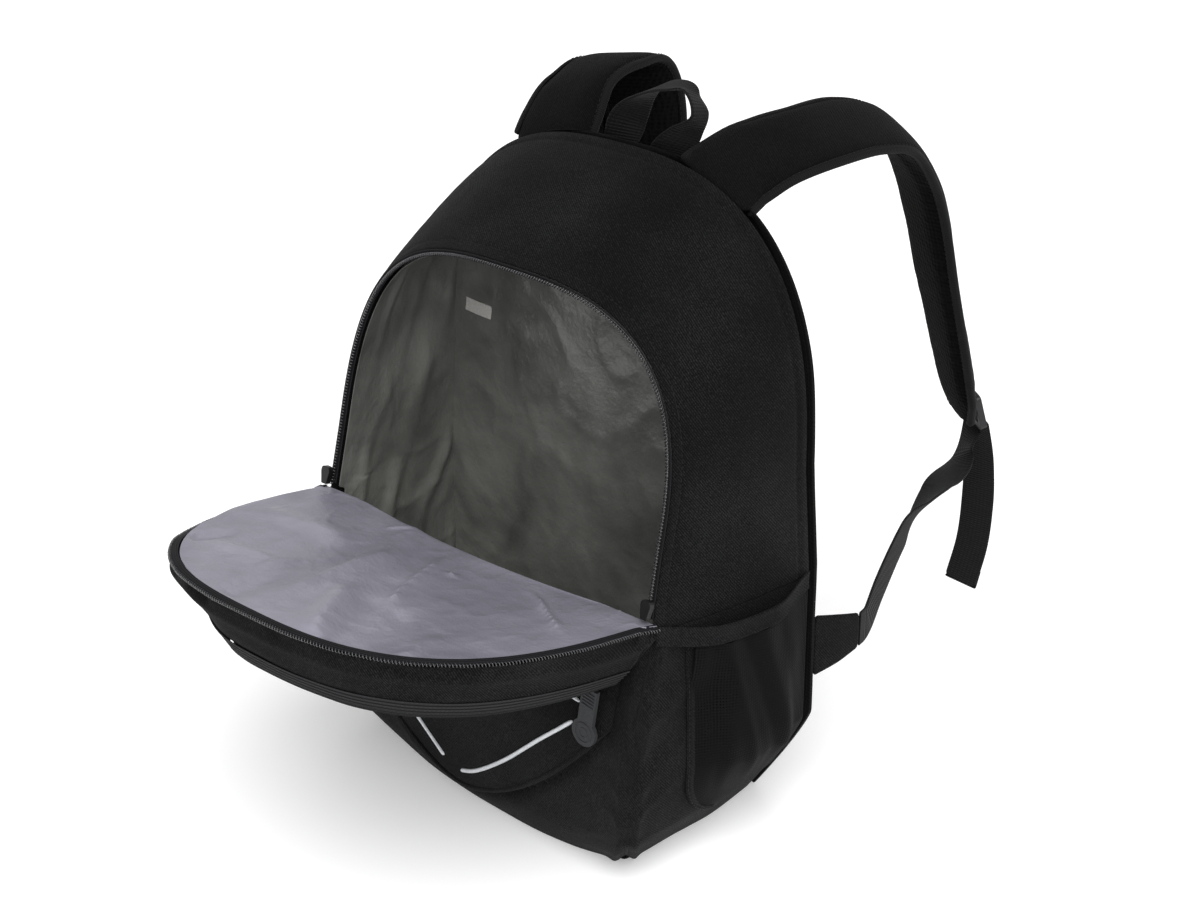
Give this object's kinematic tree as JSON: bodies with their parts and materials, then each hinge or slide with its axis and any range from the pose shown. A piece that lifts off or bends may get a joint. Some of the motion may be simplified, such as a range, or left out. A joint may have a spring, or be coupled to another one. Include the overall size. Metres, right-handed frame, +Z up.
{
  "type": "cooler backpack",
  "caption": "Insulated cooler backpack with an arched front lid folded open, silver-grey lining, mesh side pockets and padded straps.",
  "frame": {"origin": "middle of the flat base, on the surface that the bag stands on", "axes": "+X to the right as seen from the front, +Y from the front to the back panel and straps, +Z up; the open lid reaches toward -Y"},
  "size_m": [0.3542, 0.5904, 0.4605],
  "materials": {
    "fabric": "matt black polyester, fine weave",
    "lining": "silver-grey welded film, crinkled",
    "zip_tape": "black zip tape with nylon coil",
    "mesh": "fine black knitted mesh",
    "webbing": "black woven polyester webbing",
    "buckle": "black moulded plastic",
    "rubber": "dark grey moulded rubber, matt",
    "gunmetal": "gunmetal plating",
    "reflective_piping": "silver-grey reflective piping",
    "label": "white woven care label, blank"
  },
  "bodies": {
    "root": {"side_wall_right": "fabric", "side_wall_left": "fabric", "gusset_top": "fabric", "front_wall": "fabric", "base_panel": "fabric", "back_panel": "fabric", "lining_sleeve": "lining", "lining_back": "lining", "lining_front": "lining", "care_label": "label", "body_zip": "zip_tape", "lid_lining": "lining", "lid_pad": "fabric", "lid_zip": "zip_tape", "lid_border": "fabric", "lid_pocket_zip": "zip_tape", "lid_pocket_face": "fabric", "front_overlay": "fabric", "reflective_piping_right": "reflective_piping", "reflective_piping_left": "reflective_piping", "reflective_piping_top": "reflective_piping", "side_band_right": "fabric", "side_band_left": "fabric", "mesh_pocket_right": "mesh", "mesh_pocket_left": "mesh", "shoulder_strap_right": "fabric", "shoulder_strap_left": "fabric", "ladder_lock_right": "buckle", "ladder_lock_left": "buckle", "webbing_tail_right": "webbing", "webbing_tail_left": "webbing", "strap_tab_right": "fabric", "strap_tab_left": "fabric", "lower_webbing_right": "webbing", "lower_webbing_left": "webbing", "grab_handle": "webbing", "main_slider_right": "gunmetal", "main_slider_left": "gunmetal", "pocket_slider": "gunmetal", "pull_ring": "gunmetal", "rubber_pull": "rubber"}
  },
  "joints": []
}
